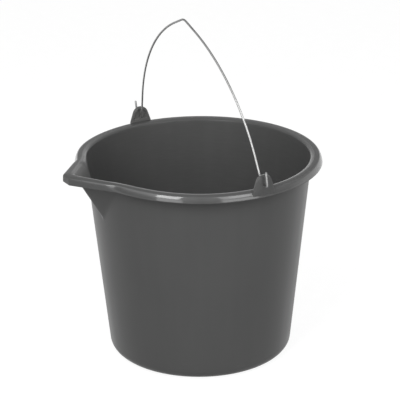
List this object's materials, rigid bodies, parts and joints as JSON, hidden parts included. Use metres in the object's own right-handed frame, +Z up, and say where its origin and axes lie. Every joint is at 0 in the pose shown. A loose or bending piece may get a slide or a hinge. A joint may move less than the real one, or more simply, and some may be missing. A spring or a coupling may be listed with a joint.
{
  "type": "bucket",
  "caption": "Tapered plastic builder's bucket with a keeled pouring spout, a turned-down rim and a bent wire bail that swings in moulded ears.",
  "frame": {"origin": "on the bucket's axis, in the plane of the foot ring that it stands on", "axes": "+Z up along the bucket's axis, -Y towards the pouring spout, +X and -X towards the two ears"},
  "size_m": [0.3208, 0.3357, 0.4292],
  "materials": {
    "bucket_plastic": "satin moulded dark grey recycled plastic",
    "bail_wire": "drawn galvanised wire"
  },
  "bodies": {
    "bucket": {"bucket_body": "bucket_plastic"},
    "bail": {"wire_bail": "bail_wire"}
  },
  "joints": [
    {"name": "bail_swing", "type": "hinge", "parent": "bucket", "child": "bail", "pos_m": [0, 0, 0.2612], "axis": [1, 0, 0], "range_deg": [-98, 83]}
  ]
}
